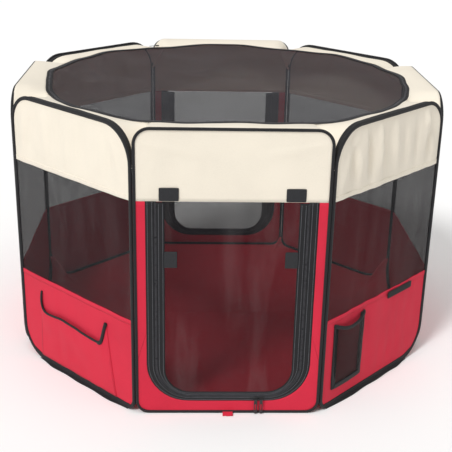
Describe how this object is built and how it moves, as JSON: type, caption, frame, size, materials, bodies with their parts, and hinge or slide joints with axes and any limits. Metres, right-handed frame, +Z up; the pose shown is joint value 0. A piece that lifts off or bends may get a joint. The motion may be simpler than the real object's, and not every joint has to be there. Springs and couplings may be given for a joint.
{
  "type": "pet playpen",
  "caption": "Folding soft-sided octagonal pet pen with netting walls, zipped netting doors, fabric floor, pockets and a zipped round netting lid.",
  "frame": {"origin": "middle of the pen on the ground", "axes": "+Z up; -Y towards the front door panel; +X to the right seen from the front"},
  "size_m": [0.9214, 0.9434, 0.608],
  "materials": {
    "wire": "bright spring wire",
    "binding": "woven binding tape",
    "cream": "oxford cloth",
    "red": "oxford cloth",
    "netting": "hexagonal netting, see-through",
    "zip_tape": "zip tape with coil teeth",
    "zip_metal": "black enamel",
    "net_pocket": "netting with woven binding",
    "hook_fabric": "hook-and-loop tape"
  },
  "bodies": {
    "front_panel": {"front_frame_wire": "wire", "front_edge_binding": "binding", "front_upper_band": "cream", "front_surround": "red", "front_zip_track": "zip_tape", "front_hook_tabs": "hook_fabric", "floor": "red"},
    "front_right_panel": {"front_right_frame_wire": "wire", "front_right_edge_binding": "binding", "front_right_upper_band": "cream", "front_right_mesh_window": "netting", "front_right_base_band": "red", "front_right_net_pocket": "net_pocket", "front_right_hook_strip": "hook_fabric"},
    "right_panel": {"right_frame_wire": "wire", "right_edge_binding": "binding", "right_upper_band": "cream", "right_mesh_window": "netting", "right_base_band": "red"},
    "back_right_panel": {"back_right_frame_wire": "wire", "back_right_edge_binding": "binding", "back_right_upper_band": "cream", "back_right_mesh_window": "netting", "back_right_base_band": "red"},
    "back_panel": {"back_frame_wire": "wire", "back_edge_binding": "binding", "back_upper_band": "cream", "back_surround": "red", "back_zip_track": "zip_tape"},
    "back_left_panel": {"back_left_frame_wire": "wire", "back_left_edge_binding": "binding", "back_left_upper_band": "cream", "back_left_mesh_window": "netting", "back_left_base_band": "red"},
    "left_panel": {"left_frame_wire": "wire", "left_edge_binding": "binding", "left_upper_band": "cream", "left_mesh_window": "netting", "left_base_band": "red"},
    "front_left_panel": {"front_left_frame_wire": "wire", "front_left_edge_binding": "binding", "front_left_upper_band": "cream", "front_left_mesh_window": "netting", "front_left_base_band": "red", "front_left_pocket": "red"},
    "front_door": {"front_door_mesh": "netting", "front_door_edging": "zip_tape", "front_door_patches": "hook_fabric"},
    "back_door": {"back_door_mesh": "netting", "back_door_edging": "zip_tape"},
    "front_slider_left": {"front_slider_left": "zip_metal"},
    "front_pull_left": {"front_pull_left": "zip_metal"},
    "front_slider_right": {"front_slider_right": "zip_metal"},
    "front_pull_right": {"front_pull_right": "zip_metal"},
    "back_slider": {"back_slider": "zip_metal"},
    "top_cover": {"top_border": "cream", "lid_zip_track": "zip_tape"},
    "lid": {"lid_rim": "binding", "lid_mesh": "netting"},
    "lid_slider": {"lid_slider": "zip_metal"}
  },
  "joints": [
    {"name": "fold", "type": "hinge", "parent": "front_right_panel", "child": "right_panel", "pos_m": [0.46109, -0.19099, 0.304], "axis": [0, 0, 1], "range_deg": [-216, 0], "deforming": ["top_border", "lid_zip_track", "lid_rim", "lid_mesh", "lid_slider", "floor"]},
    {"name": "fold_front_right", "type": "hinge", "parent": "front_panel", "child": "front_right_panel", "pos_m": [0.18801, -0.45389, 0.304], "axis": [0, 0, 1], "range_deg": [0, 129.6]},
    {"name": "fold_back_right", "type": "hinge", "parent": "right_panel", "child": "back_right_panel", "pos_m": [0.45389, 0.18801, 0.304], "axis": [0, 0, 1], "range_deg": [0, 129.6]},
    {"name": "fold_back", "type": "hinge", "parent": "back_right_panel", "child": "back_panel", "pos_m": [0.1895, 0.45749, 0.304], "axis": [0, 0, 1], "range_deg": [-43.2, 0]},
    {"name": "fold_front_left", "type": "hinge", "parent": "front_panel", "child": "front_left_panel", "pos_m": [-0.1895, -0.45749, 0.304], "axis": [0, 0, 1], "range_deg": [0, 43.2]},
    {"name": "fold_left", "type": "hinge", "parent": "front_left_panel", "child": "left_panel", "pos_m": [-0.45389, -0.18801, 0.304], "axis": [0, 0, 1], "range_deg": [-129.6, 0]},
    {"name": "fold_back_left", "type": "hinge", "parent": "left_panel", "child": "back_left_panel", "pos_m": [-0.46109, 0.19099, 0.304], "axis": [0, 0, 1], "range_deg": [0, 216]},
    {"name": "top_gather", "type": "slide", "parent": "front_panel", "child": "top_cover", "axis": [0.4173, 0.9087, 0], "range_m": [-0.4525, 0]},
    {"name": "front_door_hinge", "type": "hinge", "parent": "front_panel", "child": "front_door", "pos_m": [0, -0.45819, 0.4633], "axis": [-1, 0, 0], "range_deg": [0, 115]},
    {"name": "back_door_hinge", "type": "hinge", "parent": "back_panel", "child": "back_door", "pos_m": [0, 0.45819, 0.4633], "axis": [1, 0, 0], "range_deg": [0, 115]},
    {"name": "front_slider_left_slide", "type": "slide", "parent": "front_panel", "child": "front_slider_left", "axis": [-1, 0, 0], "range_m": [0, 0.127]},
    {"name": "front_pull_left_hinge", "type": "hinge", "parent": "front_slider_left", "child": "front_pull_left", "pos_m": [0.057, -0.46369, 0.034], "axis": [-1, 0, 0], "range_deg": [0, 140]},
    {"name": "front_slider_right_slide", "type": "slide", "parent": "front_panel", "child": "front_slider_right", "axis": [1, 0, 0], "range_m": [0, 0.01]},
    {"name": "front_pull_right_hinge", "type": "hinge", "parent": "front_slider_right", "child": "front_pull_right", "pos_m": [0.0685, -0.46369, 0.034], "axis": [-1, 0, 0], "range_deg": [0, 140]},
    {"name": "back_slider_slide", "type": "slide", "parent": "back_panel", "child": "back_slider", "axis": [1, 0, 0], "range_m": [0, 0.127]},
    {"name": "lid_hinge", "type": "hinge", "parent": "top_cover", "child": "lid", "pos_m": [0, 0.384, 0.6044], "axis": [-1, 0, 0], "range_deg": [0, 105]},
    {"name": "lid_slider_turn", "type": "hinge", "parent": "top_cover", "child": "lid_slider", "pos_m": [0, 0, 0.6044], "axis": [0, 0, 1], "range_deg": [0, 310]}
  ],
  "couplings": [
    {"joint": "fold_front_right", "follows": "fold", "ratio": -0.6},
    {"joint": "fold_back_right", "follows": "fold", "ratio": -0.6},
    {"joint": "fold_back", "follows": "fold", "ratio": 0.2},
    {"joint": "fold_front_left", "follows": "fold", "ratio": -0.2},
    {"joint": "fold_left", "follows": "fold", "ratio": 0.6},
    {"joint": "fold_back_left", "follows": "fold", "ratio": -1},
    {"joint": "top_gather", "follows": "fold", "m_per_rad": 0.12}
  ]
}
